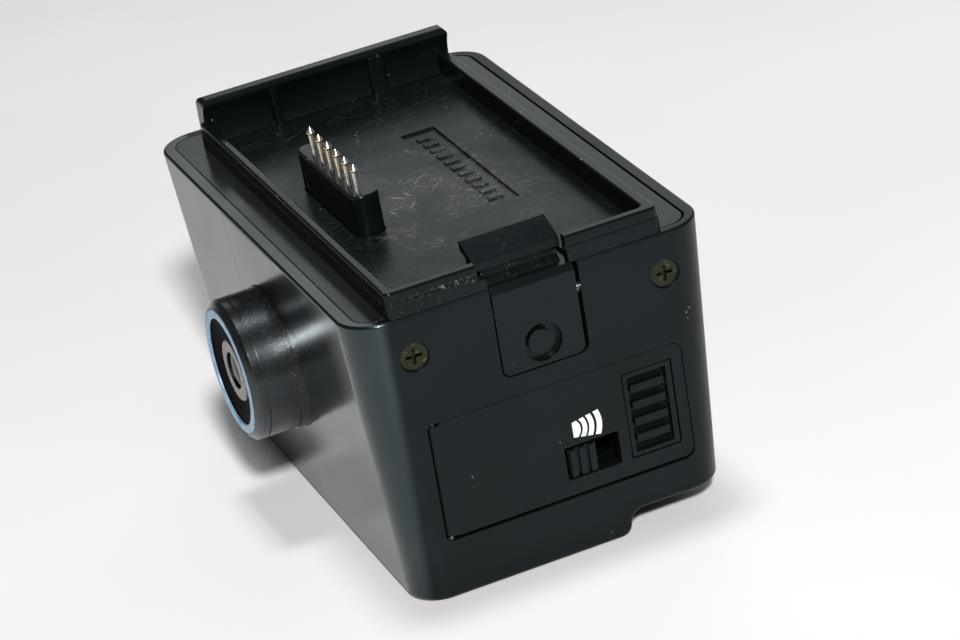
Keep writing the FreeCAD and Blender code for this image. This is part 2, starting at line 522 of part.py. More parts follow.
def latch_spring():
    """Torsion spring round the pivot pin: close coils, a leg up the latch and a leg backwards."""
    y, turns = -DEPTH / 2 + PIVOT_DEPTH, 7
    pitch = 2 * COIL_HALF_W / turns
    inner_z, valley_z, crest_z = (PIVOT_Z + COIL_R - drop for drop in (2 * COIL_WIRE_R, 0.1, 0.0))
    edges = []
    for i in range(turns):
        x0 = -COIL_HALF_W + i * pitch
        edges.append(Part.Arc(V(x0, y, valley_z), V(x0 + pitch / 2, y, crest_z),
                              V(x0 + pitch, y, valley_z)).toShape())
    corners = [V(COIL_HALF_W, y, valley_z), V(COIL_HALF_W, y, inner_z), V(-COIL_HALF_W, y, inner_z),
               V(-COIL_HALF_W, y, valley_z)]
    for start, end in zip(corners, corners[1:]):
        edges.append(Part.LineSegment(start, end).toShape())
    coil = Part.Face(Part.Wire(edges)).revolve(V(0, y, PIVOT_Z), X_AXIS, 360)
    mean_r, end_x = COIL_R - COIL_WIRE_R, COIL_HALF_W - COIL_WIRE_R
    upper_leg = cylinder(-end_x, y + mean_r, PIVOT_Z, COIL_WIRE_R, 1.4, Z_AXIS)
    rear_leg = cylinder(end_x, y, PIVOT_Z - mean_r, COIL_WIRE_R, KEEPER_Y - 0.35 - y, Y_AXIS)
    return fuse_all([coil, upper_leg, rear_leg])


def spring_keeper():
    """Rib under the cradle plate that the rear leg of the latch spring leans on."""
    top = HEIGHT - PLATE_T
    post = box(-KEEPER_W / 2, KEEPER_W / 2, KEEPER_Y, KEEPER_Y + 1.6, PIVOT_Z - 4.0, top)
    foot = box(-KEEPER_W, KEEPER_W, KEEPER_Y + 1.0, KEEPER_Y + 6.0, top - 1.4, top)
    return fuse_all([post, foot])


# ---------------------------------------------------------------- sprung contacts
def contact_places():
    return [(CONTACT_X, CONTACT_Y0 + i * CONTACT_PITCH) for i in range(CONTACTS)]


def contact_block():
    """Raised block with six stepped bores, held by a flange under the cradle plate."""
    out = BLOCK_FLANGE_W
    block = rounded_prism(BLOCK_X0, BLOCK_X1, BLOCK_Y0, BLOCK_Y1, BLOCK_R, BLOCK_FLANGE_Z0, BLOCK_TOP)
    block = fillet_where(block, 0.3, lambda m, e: m.z > BLOCK_TOP - 0.01)
    flange = rounded_prism(BLOCK_X0 - out, BLOCK_X1 + out, BLOCK_Y0 - out, BLOCK_Y1 + out, 2.0,
                           BLOCK_FLANGE_Z0, BLOCK_FLANGE_Z0 + BLOCK_FLANGE_T)
    block = fuse_all([block, flange])
    wide_h = CONTACT_COLLAR_TOP + 0.2 - BLOCK_FLANGE_Z0
    for x, y in contact_places():
        block = block.cut(cylinder(x, y, BLOCK_FLANGE_Z0 - 1, CONTACT_COLLAR_R + CONTACT_FIT, wide_h + 1))
        block = block.cut(cylinder(x, y, CONTACT_COLLAR_TOP, CONTACT_STEM_R + CONTACT_FIT, 6))
    return block


def contact_pin(x, y):
    """Plunger with a pointed head, a tapering stem and a collar inside the block."""
    tip, collar_top = CONTACT_TIP, CONTACT_COLLAR_TOP
    points = [(0, tip), (0.08, tip), (CONTACT_HEAD_R, tip - 0.8), (CONTACT_HEAD_R, tip - 0.95),
              (0.44, tip - 1.15), (CONTACT_STEM_R, tip - 3.3), (CONTACT_STEM_R, collar_top),
              (CONTACT_COLLAR_R, collar_top), (CONTACT_COLLAR_R, collar_top - CONTACT_COLLAR_T),
              (0, collar_top - CONTACT_COLLAR_T)]
    wire = Part.makePolygon([V(x + r, y, z) for r, z in points + points[:1]])
    return Part.Face(wire).revolve(V(x, y, 0), Z_AXIS, 360)


def contact_spring(x, y):
    z0, gap = BLOCK_FLANGE_Z0 + 0.05, 0.05
    return tube(x, y, z0, 0.48, 0.34, CONTACT_COLLAR_TOP - CONTACT_COLLAR_T - gap - z0)


def contact_board():
    out = BLOCK_FLANGE_W + 0.4
    return box(BLOCK_X0 - out, BLOCK_X1 + out, BLOCK_Y0 - out, BLOCK_Y1 + out,
               BLOCK_FLANGE_Z0 - CONTACT_BOARD_T, BLOCK_FLANGE_Z0)


# ---------------------------------------------------------------- service door
def door_outline(gap, gap_below, gap_top, d0, d1):
    """The door's outline, with smaller corners on its hinge side."""
    sides = (DOOR_V0 + gap_below, DOOR_V1 - gap_top)
    right = front_prism(DOOR_X0 - 8, DOOR_X1 - gap, *sides, DOOR_R - gap, d0, d1)
    return right.common(front_prism(DOOR_X0 + gap, DOOR_X1 + 8, *sides, DOOR_HINGE_SIDE_R, d0, d1))


def access_door():
    """Slab whose hinge side is a round nose. Its ends are relieved there, so that it can swing."""
    g = DOOR_GAP
    axis_x = DOOR_X0 + g + HINGE_R
    v0, v1 = DOOR_V0 + DOOR_GAP_BELOW, DOOR_V1 - DOOR_GAP_TOP
    slab = front_prism(axis_x, DOOR_X1 - g, v0, v1, 0.05, 0, DOOR_T)
    door = fuse_all([slab, cylinder(axis_x, HINGE_R, v0, HINGE_R, v1 - v0)])
    door = door.common(door_outline(g, DOOR_GAP_BELOW, DOOR_GAP_TOP, 0, DOOR_T))
    for low, high in ((v0 - 1, v0 + 0.15), (v1 - 0.4, v1 + 1)):
        door = door.cut(box(DOOR_X0, DOOR_X0 + g + DOOR_T, -1, DOOR_T + 1, low, high))
    door = door.cut(front_prism(RELEASE_X0, RELEASE_X1, RELEASE_V0, RELEASE_V1, 0.2, -1, DOOR_T + 1))
    door = door.cut(front_prism(KNOB_SLOT_X0, KNOB_SLOT_X1, KNOB_SLOT_V0, KNOB_SLOT_V1, 0.2, -1,
                                DOOR_T + 1))
    bore = cylinder(axis_x, HINGE_R, DOOR_V0 - 2, HINGE_PIN_R + RUNNING, DOOR_V1 - DOOR_V0 + 4)
    return on_front(door.cut(bore))


def door_hinge_pin():
    return on_front(cylinder(DOOR_X0 + DOOR_GAP + HINGE_R, HINGE_R, DOOR_V0 - HINGE_PIN_REACH, HINGE_PIN_R,
                             DOOR_V1 - DOOR_V0 + 2 * HINGE_PIN_REACH))


def door_release():
    """Flush press-in catch with a finger pocket and ribs, held by a flange behind the door."""
    x0, x1 = RELEASE_X0 + 0.15, RELEASE_X1 - 0.25
    v0, v1 = RELEASE_V0 + 0.25, RELEASE_V1 - 0.15
    out = RELEASE_FLANGE
    body = front_prism(x0, x1, v0, v1, 0.15, 0, DOOR_T + 0.2)
    flange = front_prism(x0 - out, x1 + out, v0 - out, v1 + out, 0.3, DOOR_T + 0.15, DOOR_T + 0.75)
    pocket_x0, pocket_x1 = RELEASE_X0 + RELEASE_RIM, RELEASE_X1 - RELEASE_RIM_RIGHT
    pocket_v0, pocket_v1 = RELEASE_V0 + 0.8, RELEASE_V1 - 0.8
    pocket = front_prism(pocket_x0, pocket_x1, pocket_v0, pocket_v1, 0.1, -1, RELEASE_POCKET_D)
    catch = fuse_all([body, flange]).cut(pocket)
    slot_h = (pocket_v1 - pocket_v0 - RELEASE_RIBS * RELEASE_RIB_H) / (RELEASE_RIBS + 1)
    ribs = []
    for i in range(RELEASE_RIBS):
        v = pocket_v0 + slot_h + i * (slot_h + RELEASE_RIB_H)
        ribs.append(front_prism(pocket_x0 + 0.45, pocket_x1 - 0.45, v, v + RELEASE_RIB_H, 0.1, 0.05,
                                RELEASE_POCKET_D + 0.1))
    return on_front(fuse_all([catch] + ribs))


def door_seal():
    """Soft frame between the door and the bezel, round the two ports."""
    width = 1.0
    x0, x1, v0, v1 = -16.2, -1.6, 9.9, 25.4
    outer = front_prism(x0, x1, v0, v1, 1.2, DOOR_T + 0.3, BEZEL_D)
    inner = front_prism(x0 + width, x1 - width, v0 + width, v1 - width, 0.6, DOOR_T, BEZEL_D + 1)
    return on_front(outer.cut(inner))


def port_bezel():
    """Wall behind the door with openings for the ports and the switch, on two rails."""
    low, high = DOOR_V0 - BEZEL_LAP, DOOR_V1 + BEZEL_LAP - 0.2
    plate = front_prism(DOOR_X0 - BEZEL_LAP, DOOR_X1 + 1.2, low, high, 1.0, BEZEL_D, BEZEL_D + BEZEL_T)
    rails = []
    for v0, v1 in ((low, DOOR_V0 - 0.2), (DOOR_V1 + 0.2, high)):
        rails.append(front_prism(DOOR_X0 + 1.0, DOOR_X1 - 1.0, v0, v1, 0.3, WALL + 0.02, BEZEL_D + 0.1))
    bezel = fuse_all([plate] + rails)
    through, usb_w, card_v = BEZEL_D + BEZEL_T + 4, USB_W / 2 + 0.3, CARD_BOARD_Z + CARD_BOARD_T
    slot = front_prism(KNOB_SLOT_X0 - 0.4, KNOB_SLOT_X1 + 0.2, KNOB_SLOT_V0, KNOB_SLOT_V1, 0.3, 0, through)
    usb = front_prism(USB_X - usb_w, USB_X + usb_w, BOARD_TOP + 0.3, BOARD_TOP + USB_H + 0.9, 0.6, 0,
                      through)
    card = front_prism(CARD_X - CARD_W / 2, CARD_X + CARD_W / 2, card_v, card_v + CARD_H + 0.8, 0.4, 0,
                       through)
    return on_front(bezel.cut(fuse_all([slot, usb, card])))


# ---------------------------------------------------------------- sound switch
def sound_knob():
    """Slide knob with upright ribs and a stem that reaches into the switch."""
    x0, v0, v1 = KNOB_SLOT_X0 + KNOB_LEFT_GAP, KNOB_SLOT_V0 + 0.2, KNOB_SLOT_V1 - KNOB_GAP_ABOVE
    cap = front_prism(x0, x0 + KNOB_W, v0, v1, 0.15, KNOB_FACE_D, KNOB_BACK_D)
    ribs = []
    for i in range(KNOB_RIBS):
        x = x0 + 0.1 + i * KNOB_RIB_PITCH
        ribs.append(front_prism(x, x + KNOB_RIB_W, v0, v1, 0.1, KNOB_RIB_D, KNOB_FACE_D + 0.15))
    stem = front_prism(x0 + STEM_X0, x0 + STEM_X1, STEM_V0, STEM_V1, 0.2, KNOB_BACK_D - 0.1, KNOB_STEM_D)
    return on_front(fuse_all([cap, stem] + ribs))


def sound_switch_body():
    """Switch behind the bezel, with a slot for the travel of the knob's stem."""
    d0 = BEZEL_D + BEZEL_T + 0.1
    body = front_prism(KNOB_SLOT_X0 - 1.2, KNOB_SLOT_X1 + 0.9, STEM_V0 - 2.1, STEM_V1 + 2.1, 0.3, d0,
                       d0 + 3.3)
    slot = front_prism(KNOB_SLOT_X0 + 1.1, KNOB_SLOT_X1 - 0.9, STEM_V0 - 0.4, STEM_V1 + 0.4, 0.2, 3,
                       KNOB_STEM_D + 0.6)
    return on_front(body.cut(slot))


def sound_mark():
    """Printed sound symbol: a small horn and three sound waves, as thin ink on the door."""
    left, middle, ink = 2.3, 18.72, 0.05
    width, left_half, right_half = 4.3, 1.12, 1.95
    centre = V(left - 0.6, -ink, middle)
    outline = [V(left, -1, middle - left_half), V(left + width, -1, middle - right_half),
               V(left + width, -1, middle + right_half), V(left, -1, middle + left_half)]
    fan = Part.Face(Part.makePolygon(outline + outline[:1])).extrude(V(0, 2, 0))
    bands = []
    for r0, r1 in SOUND_MARK_BANDS:
        ring = Part.makeCylinder(r1, ink, centre, Y_AXIS).cut(Part.makeCylinder(r0, ink, centre, Y_AXIS))
        bands.append(on_front(ring.common(fan)))
    return Part.makeCompound(bands)


# ---------------------------------------------------------------- lens
def lens_barrel():
    """Barrel with a grooved front lip, a collar in the wall, a seal groove and a rear flange."""
    front = BARREL_FRONT
    groove0, groove1 = OSEAL_X - OSEAL_HALF_W, OSEAL_X + OSEAL_HALF_W
    line0, line1 = front + BARREL_LINE_AT, front + BARREL_LINE_AT + BARREL_LINE_W
    neck0, neck1 = front + BARREL_NECK_AT, front + BARREL_NECK_AT + BARREL_LINE_W
    flange0, flange1 = front + BARREL_FLANGE_AT, front + BARREL_FLANGE_AT + BARREL_FLANGE_T
    line_r, neck_r = BARREL_R - BARREL_LINE_W, BARREL_R - BARREL_NECK_D
    bore_r, mask_bore_r, seat = CELL_R + SLIDE_FIT + 0.05, MASK_R + SLIDE_FIT, front + BARREL_SEAT_AT
    points = [(front, RING_R), (front + BARREL_LIP, BARREL_R - BARREL_LIP),
              (front + 2 * BARREL_LIP, BARREL_R),
              (line0, BARREL_R), (line0, line_r), (line1, line_r), (line1, BARREL_R),
              (neck0, BARREL_R), (neck0, neck_r), (neck1, neck_r), (neck1, BARREL_COLLAR_R),
              (groove0, BARREL_COLLAR_R), (groove0, OSEAL_BED_R), (groove1, OSEAL_BED_R),
              (groove1, BARREL_COLLAR_R), (flange0, BARREL_COLLAR_R), (flange0, BARREL_FLANGE_R),
              (flange1, BARREL_FLANGE_R), (flange1, bore_r), (seat, bore_r), (seat, mask_bore_r),
              (front + RING_T, mask_bore_r), (front + RING_T, RING_R)]
    return turned_x(points)


def lens_front_ring():
    front = BARREL_FRONT
    return turned_x([(front - 0.05, RING_BORE_R + 0.1), (front - 0.05, RING_R - 0.2),
                     (front + 0.05, RING_R - 0.07), (front + RING_T - 0.02, RING_R - 0.07),
                     (front + RING_T - 0.02, RING_BORE_R), (front + 0.05, RING_BORE_R)])


def lens_mask():
    """Black dished trim between the front ring and the retainer."""
    x0, x1, bore = BARREL_FRONT + RING_T, BARREL_FRONT + RING_T + MASK_T, RETAINER_R + 0.05
    return turned_x([(x0, MASK_R), (x1, MASK_R), (x1, bore), (x1 - 0.35, bore)])


def lens_cell():
    """Threaded barrel that carries the glass; its rear end screws into the holder."""
    front, nose = BARREL_FRONT, BARREL_FRONT + 0.6 + RETAINER_T
    return turned_x([(nose, PUPIL_R + 0.1), (nose, RETAINER_R), (front + 1.45, RETAINER_R),
                     (front + 1.45, CELL_R), (front + 14.0, CELL_R), (front + 14.0, CELL_THREAD_R),
                     (front + 19.0, CELL_THREAD_R), (front + 19.0, CELL_BORE_R),
                     (front + 2.5, CELL_BORE_R), (front + 2.5, PUPIL_R + 0.1)])


def lens_retainer():
    """Thin bare ring that holds the front glass in the cell."""
    x0, x1 = BARREL_FRONT + 0.6, BARREL_FRONT + 0.6 + RETAINER_T
    return turned_x([(x0, PUPIL_R + 0.1), (x0, RETAINER_R - 0.2), (x0 + 0.2, RETAINER_R),
                     (x1, RETAINER_R), (x1, PUPIL_R), (x0 + 0.1, PUPIL_R)])


def glass_element(x0, x1, radius, bulge):
    """Disc of glass from x0 to x1 whose front is domed forwards by bulge."""
    ball_r = (radius ** 2 + bulge ** 2) / (2 * bulge)
    ball = Part.makeSphere(ball_r, V(x0 - bulge + ball_r, LENS_Y, LENS_Z))
    return cylinder(x0 - 2 * bulge, LENS_Y, LENS_Z, radius, x1 - x0 + 2 * bulge, X_AXIS).common(ball)


def lens_front_element():
    """Its dome starts behind the retainer and stands GLASS_SINK back from the retainer's face."""
    front = BARREL_FRONT + 0.6 + GLASS_SINK
    return glass_element(front + GLASS_BULGE, front + 1.7, PUPIL_R + 0.08, GLASS_BULGE)


def lens_rear_element():
    return glass_element(BARREL_FRONT + 12.0, BARREL_FRONT + 14.5, CELL_BORE_R - 0.05, 0.8)


def lens_oring():
    return Part.makeTorus(OSEAL_BED_R + OSEAL_R, OSEAL_R, V(OSEAL_X, LENS_Y, LENS_Z), X_AXIS)


def lens_holder():
    """Block on the sensor board with the thread for the lens cell and room for filter and sensor."""
    half, room = HOLDER_HALF, HOLDER_ROOM_HALF
    block = box(HOLDER_X0, HOLDER_X1, LENS_Y - half, LENS_Y + half, LENS_Z - half, LENS_Z + half)
    block = block.cut(cylinder(HOLDER_X0 - 1, LENS_Y, LENS_Z, CELL_THREAD_R + 0.05, HOLDER_NECK + 1.5,
                               X_AXIS))
    return block.cut(box(HOLDER_X0 + HOLDER_NECK, HOLDER_X1 + 1, LENS_Y - room, LENS_Y + room,
                         LENS_Z - room, LENS_Z + room))


def ir_filter():
    x, half = HOLDER_X0 + HOLDER_NECK + 0.1, HOLDER_ROOM_HALF - 0.1
    return box(x, x + 0.6, LENS_Y - half, LENS_Y + half, LENS_Z - half, LENS_Z + half)


def image_sensor():
    return box(HOLDER_X1 - SENSOR_T, HOLDER_X1, LENS_Y - SENSOR_HALF_W, LENS_Y + SENSOR_HALF_W,
               LENS_Z - SENSOR_HALF_H, LENS_Z + SENSOR_HALF_H)


def sensor_board():
    half = HOLDER_HALF + 2.0
    return box(HOLDER_X1, HOLDER_X1 + SENSOR_BOARD_T, LENS_Y - half, LENS_Y + half, LENS_Z - half,
               LENS_Z + half - 1.0)


def sensor_flex():
    """Film down the back of the sensor board, and along the main board to its connector."""
    x, y0, y1 = HOLDER_X1 + SENSOR_BOARD_T, LENS_Y - FLEX_HALF_W, LENS_Y + FLEX_HALF_W
    down = box(x, x + FLEX_T, y0, y1, BOARD_TOP + FLEX_T, LENS_Z - 2)
    along = box(x, x + 5, y0, y1, BOARD_TOP, BOARD_TOP + FLEX_T)
    return fuse_all([down, along])


# ---------------------------------------------------------------- electronics inside
def main_board():
    board = rounded_prism(BOARD_X0, BOARD_X1, BOARD_Y0, BOARD_Y1, 1.5, BOARD_Z, BOARD_TOP)
    for x, y in BOARD_POSTS:
        board = board.cut(cylinder(x, y, BOARD_Z - 1, 0.9, 4))
    return board


def board_screws():
    screws, depth = [], POST_BORE_D - 0.3
    for x, y in BOARD_POSTS:
        head = cylinder(x, y, BOARD_TOP, BOARD_SCREW_HEAD_R, BOARD_SCREW_HEAD_H)
        screws.append(fuse_all([head, cylinder(x, y, BOARD_Z - depth, BOARD_SCREW_R, depth + 1.3)]))
    return Part.makeCompound(screws)


def board_chips():
    """Processor, memory and radio chip: corner, width, depth and thickness of each."""
    sizes = [(4.0, 8.0, 13.0, 13.0, 1.4), (6.0, -10.0, 10.0, 8.0, 1.1), (-15.0, 17.0, 8.0, 7.0, 1.2)]
    return Part.makeCompound([box(x, x + w, y, y + d, BOARD_TOP, BOARD_TOP + t) for x, y, w, d, t in sizes])


def on_front_y(depth, z):
    """The y of a point at this depth behind the leaning front face, at height z."""
    return FRONT_FOOT_Y - DRAFT * z + depth


def usb_socket():
    """Metal shell open to the front, with a contact tongue inside."""
    z, half, skin = BOARD_TOP, USB_W / 2, 0.4
    y0 = on_front_y(PORTS_D, z)
    shell = box(USB_X - half, USB_X + half, y0, y0 + 5.6, z, z + USB_H)
    mouth = box(USB_X - half + skin, USB_X + half - skin, y0 - 1, y0 + 4.8, z + skin, z + USB_H - skin)
    tongue = box(USB_X - 2.4, USB_X + 2.4, y0 + 0.6, y0 + 5.0, z + 0.9, z + 1.5)
    return fuse_all([shell.cut(mouth), tongue])


def card_board():
    """Small board for the card socket, standing on three spacers."""
    y0 = on_front_y(PORTS_D, CARD_BOARD_Z + 3)
    board = box(-17.0, -1.0, y0, y0 + 18, CARD_BOARD_Z, CARD_BOARD_Z + CARD_BOARD_T)
    legs = []
    for x, y in ((-16.0, y0 + 16.0), (-2.0, y0 + 16.0), (-2.0, y0 + 8.0)):
        legs.append(cylinder(x, y, BOARD_TOP, 0.8, CARD_BOARD_Z - BOARD_TOP + 0.1))
    return fuse_all([board] + legs)


def card_socket():
    z, half, skin = CARD_BOARD_Z + CARD_BOARD_T, CARD_W / 2, 0.3
    y0 = on_front_y(PORTS_D, z + 2)
    shell = box(CARD_X - half - 0.7, CARD_X + half + 0.7, y0, y0 + 15.2, z, z + CARD_H + 2 * skin)
    mouth = box(CARD_X - half + 0.2, CARD_X + half - 0.2, y0 - 1, y0 + 14.4, z + skin, z + CARD_H + skin)
    return shell.cut(mouth)


def buzzer():
    return cylinder(9.5, -22.0, BOARD_TOP, 4.5, 3.2)


def microphone():
    return cylinder(-14.6, -11.0, BOARD_TOP, 2.0, 1.6)


def battery_pack():
    x0, x1, y0, y1, z0, z1 = BATTERY
    pack = box(x0, x1, y0, y1, z0, z1)
    return fillet_where(pack, BATTERY_EDGE_R,
                        lambda m, e: abs(abs(m.x - (x0 + x1) / 2) - (x1 - x0) / 2) < 0.01
                        and abs(e.Length - (y1 - y0)) < 0.01)


def battery_tray():
    """Open tray under the battery, on four legs."""
    x0, x1, y0, y1, z0 = BATTERY[:5]
    tray = box(x0 - TRAY_WALL, x1 + 0.2, y0 - TRAY_WALL, y1 + TRAY_WALL, z0 - TRAY_FLOOR_T,
               z0 + TRAY_WALL_H)
    tray = tray.cut(box(x0 - TRAY_GAP, x1 + 1, y0 - TRAY_GAP, y1 + TRAY_GAP, z0, z0 + TRAY_WALL_H + 1))
    legs = []
    for x in (x0 + 1.0, x1 - 2.0):
        for y in (y0 + 3.0, y1 - 8.0):
            legs.append(cylinder(x, y, BOARD_TOP, 1.0, z0 - TRAY_FLOOR_T + 0.1 - BOARD_TOP))
    return fuse_all([tray] + legs)


def contact_flex():
    """Film from the contact board down to the main board."""
    x0, width, y1 = BLOCK_X0 + 0.5, 3.0, BLOCK_Y1 + BLOCK_FLANGE_W + 0.4
    z1 = BLOCK_FLANGE_Z0 - CONTACT_BOARD_T
    along = box(x0, x0 + width, y1 - 4, y1 + 6 + FLEX_T, z1 - FLEX_T, z1)
    down = box(x0, x0 + width, y1 + 6, y1 + 6 + FLEX_T, BOARD_TOP, z1)
    return fuse_all([along, down])


# ---------------------------------------------------------------- write the parts
NODES = {
    "housing": housing, "lens_panel": lens_panel, "cradle": cradle, "cradle_screws": cradle_screws,
    "release_latch": release_latch, "latch_pin": latch_pin, "latch_spring": latch_spring,
    "spring_keeper": spring_keeper, "contact_block": contact_block, "contact_board": contact_board,
    "access_door": access_door, "door_hinge_pin": door_hinge_pin, "door_release": door_release,
    "door_seal": door_seal, "port_bezel": port_bezel, "sound_knob": sound_knob,
    "sound_switch_body": sound_switch_body, "sound_mark": sound_mark, "lens_barrel": lens_barrel,
    "lens_front_ring": lens_front_ring, "lens_mask": lens_mask, "lens_cell": lens_cell,
    "lens_retainer": lens_retainer, "lens_front_element": lens_front_element,
    "lens_rear_element": lens_rear_element, "lens_oring": lens_oring, "lens_holder": lens_holder,
    "ir_filter": ir_filter, "image_sensor": image_sensor, "sensor_board": sensor_board,
    "sensor_flex": sensor_flex, "main_board": main_board, "board_screws": board_screws,
    "board_chips": board_chips, "usb_socket": usb_socket, "card_board": card_board,
    "card_socket": card_socket, "buzzer": buzzer, "microphone": microphone,
    "battery_pack": battery_pack, "battery_tray": battery_tray, "contact_flex": contact_flex,
}


def write(name, shape):
    if not shape.isValid():
        print("NOT VALID:", name)
    shape.exportStep("parts/%s.step" % name)
    bounds = shape.BoundBox
    print("%-22s solids %d  volume %9.2f  x %.2f..%.2f  y %.2f..%.2f  z %.2f..%.2f"
          % (name, len(shape.Solids), shape.Volume, bounds.XMin, bounds.XMax, bounds.YMin,
             bounds.YMax, bounds.ZMin, bounds.ZMax))


def main():
    os.makedirs("parts", exist_ok=True)
    for name, make in NODES.items():
        write(name, make())
    for i, (x, y) in enumerate(contact_places()):
        write("contact_pin_%d" % (i + 1), contact_pin(x, y))
        write("contact_spring_%d" % (i + 1), contact_spring(x, y))


main()
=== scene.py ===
import json
import math

import bpy
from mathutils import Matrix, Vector


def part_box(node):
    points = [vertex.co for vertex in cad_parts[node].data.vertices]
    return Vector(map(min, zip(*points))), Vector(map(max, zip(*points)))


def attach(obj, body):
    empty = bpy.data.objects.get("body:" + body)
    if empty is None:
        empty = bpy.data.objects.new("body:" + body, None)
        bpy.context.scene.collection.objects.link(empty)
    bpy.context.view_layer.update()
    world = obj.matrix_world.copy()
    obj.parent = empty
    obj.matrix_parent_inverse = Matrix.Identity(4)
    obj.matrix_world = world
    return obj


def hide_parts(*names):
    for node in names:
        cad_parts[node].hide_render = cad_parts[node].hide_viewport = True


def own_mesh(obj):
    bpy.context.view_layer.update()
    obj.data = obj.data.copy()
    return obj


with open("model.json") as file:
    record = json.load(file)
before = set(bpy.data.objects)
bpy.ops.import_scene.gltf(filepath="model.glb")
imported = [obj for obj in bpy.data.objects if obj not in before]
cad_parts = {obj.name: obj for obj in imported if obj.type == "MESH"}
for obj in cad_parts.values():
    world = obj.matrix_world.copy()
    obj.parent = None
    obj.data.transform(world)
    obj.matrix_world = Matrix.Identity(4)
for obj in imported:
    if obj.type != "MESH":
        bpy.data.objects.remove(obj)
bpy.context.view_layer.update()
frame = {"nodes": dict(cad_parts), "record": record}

MM = 0.001

COIL_TURNS, COIL_STEPS, COIL_SIDES = 14, 20, 8     # of each contact spring
COIL_WIRE_R = 0.07 * MM
CONTACTS, CONTACT_TRAVEL = 6, 1.5 * MM

# Parts of a noise's range, from low to high, over which a look changes.
MIDDLE = (0.3, 0.7)
UPPER = (0.35, 0.7)

# Where a look changes, with a soft step between two x positions or two radii about the lens axis.
LENS_AXIS_Z = 23.4 * MM
LENS_SIDE_X = (-20.0 * MM, -21.5 * MM)
BARREL_FOOT_X = (-27.6 * MM, -24.6 * MM)
RETAINER_BORE_SHADE_R = (2.74 * MM, 2.70 * MM)

# Soft boxes for Graph.near: centre and half sizes, in metres.
ROUND_BARREL = ((-0.0235, -0.004, 0.0234), (0.006, 0.019, 0.017))
BAY_FLOOR = ((-0.0005, -0.004, 0.0432), (0.021, 0.042, 0.0012))
BAY_WORN = ((0.000, -0.008, 0.0432), (0.0125, 0.0205, 0.0012))
FRONT_RIM = ((-0.0122, -0.0411, 0.0448), (0.0062, 0.0008, 0.0006))
# box of a painted sheen on the plate's strip along the lens side
LENS_SIDE_SHEEN_STRIP = ((-0.0218, 0.0, 0.0427), (0.0026, 0.048, 0.0006))
LENS_SIDE_RIM = ((-0.0208, -0.027, 0.0436), (0.0036, 0.020, 0.003))
LATCH_HEAD = ((0.001, -0.0368, 0.0470), (0.0062, 0.0034, 0.0016))
LATCH_NECK = ((0.001, -0.0392, 0.0436), (0.0050, 0.0014, 0.0012))
BOX_CORE = 0.6                                      # share of each half size where the mask is 1

# Colours of dirt and wear, with the pale colour also used for painted glints and sheen on the bay, and
# how much of them covers the surface.
PLASTIC_TINT = (0.72, 0.94, 1.0)
BRASSY, BRASSY_ON_BARREL, BRASSY_COVER = (0.42, 0.28, 0.11), (0.45, 0.30, 0.12), 0.8
BAY_SCUFF_AND_HIGHLIGHT, LATCH_SCUFF = (0.50, 0.51, 0.50), (0.50, 0.51, 0.47)
SPECK, BAY_SPECK, SPECK_COVER = (0.30, 0.29, 0.26), (0.42, 0.41, 0.37), 0.75
DARKER, PALER = 0.82, 1.2                           # of the colour of moulded plastic
BARE_GAIN, BARE_LIFT = 3.0, 0.010                   # from that colour to the colour of its rubbed edges
SPECK_RIM = (0.16, 0.06)                            # distance from a cell's middle: none, full
SPECK_CUT = (0.72, 0.76)                            # of the noise that keeps some specks, before density
SPECK_PATCHES, SPECK_ROUGH, SPECK_HEIGHT = 0.21, 0.3, 1.5
SCRATCH_ALONG, SCRATCH_ACROSS, SCRATCH_RIM = 0.5, 9.0, 0.06
SCRATCH_SHIFT = (3.3, 7.1)                          # between the sets of scratches

# Radii of rounded edges, and the cosines of the turned normal at which the edge mask is 0 and 1.
MOULDED_EDGE, COATED_EDGE, METAL_EDGE = 0.14 * MM, 0.1 * MM, 0.08 * MM
EDGE_COSINES = (0.985, 0.88)

FLOOR_HALF = 3.0
LAMP_AIM = (0, 0, 0.03)
# Name, place, diameter, power and colour of each lamp.
LAMPS = (("key", (-0.23, -1.08, 0.90), 0.15, 22.5, (1.0, 0.99, 0.975)),
         ("overhead", (0.0, 0.05, 1.35), 0.25, 6.5, (0.98, 0.99, 1.0)),
         ("rear", (0.62, 1.02, 0.62), 0.95, 2.0, (0.97, 0.99, 1.0)))
WORLD_COLOR, WORLD_STRENGTH = (0.95, 0.97, 1.0, 1), 0.07
CAMERA_PLACE = (-0.13972, -0.44773, 0.23819)
CAMERA_TURN = (1.12793, 0.16827, -0.39281)
CAMERA_SENSOR, CAMERA_LENS = 36.0, 137.5            # millimetres
CAMERA_CLIP = (0.01, 20.0)


# ---------------------------------------------------------------- node graph helper
def rgba(value):
    """A colour of three numbers with its alpha, or a socket or number as it is."""
    return (*value, 1) if isinstance(value, tuple) else value


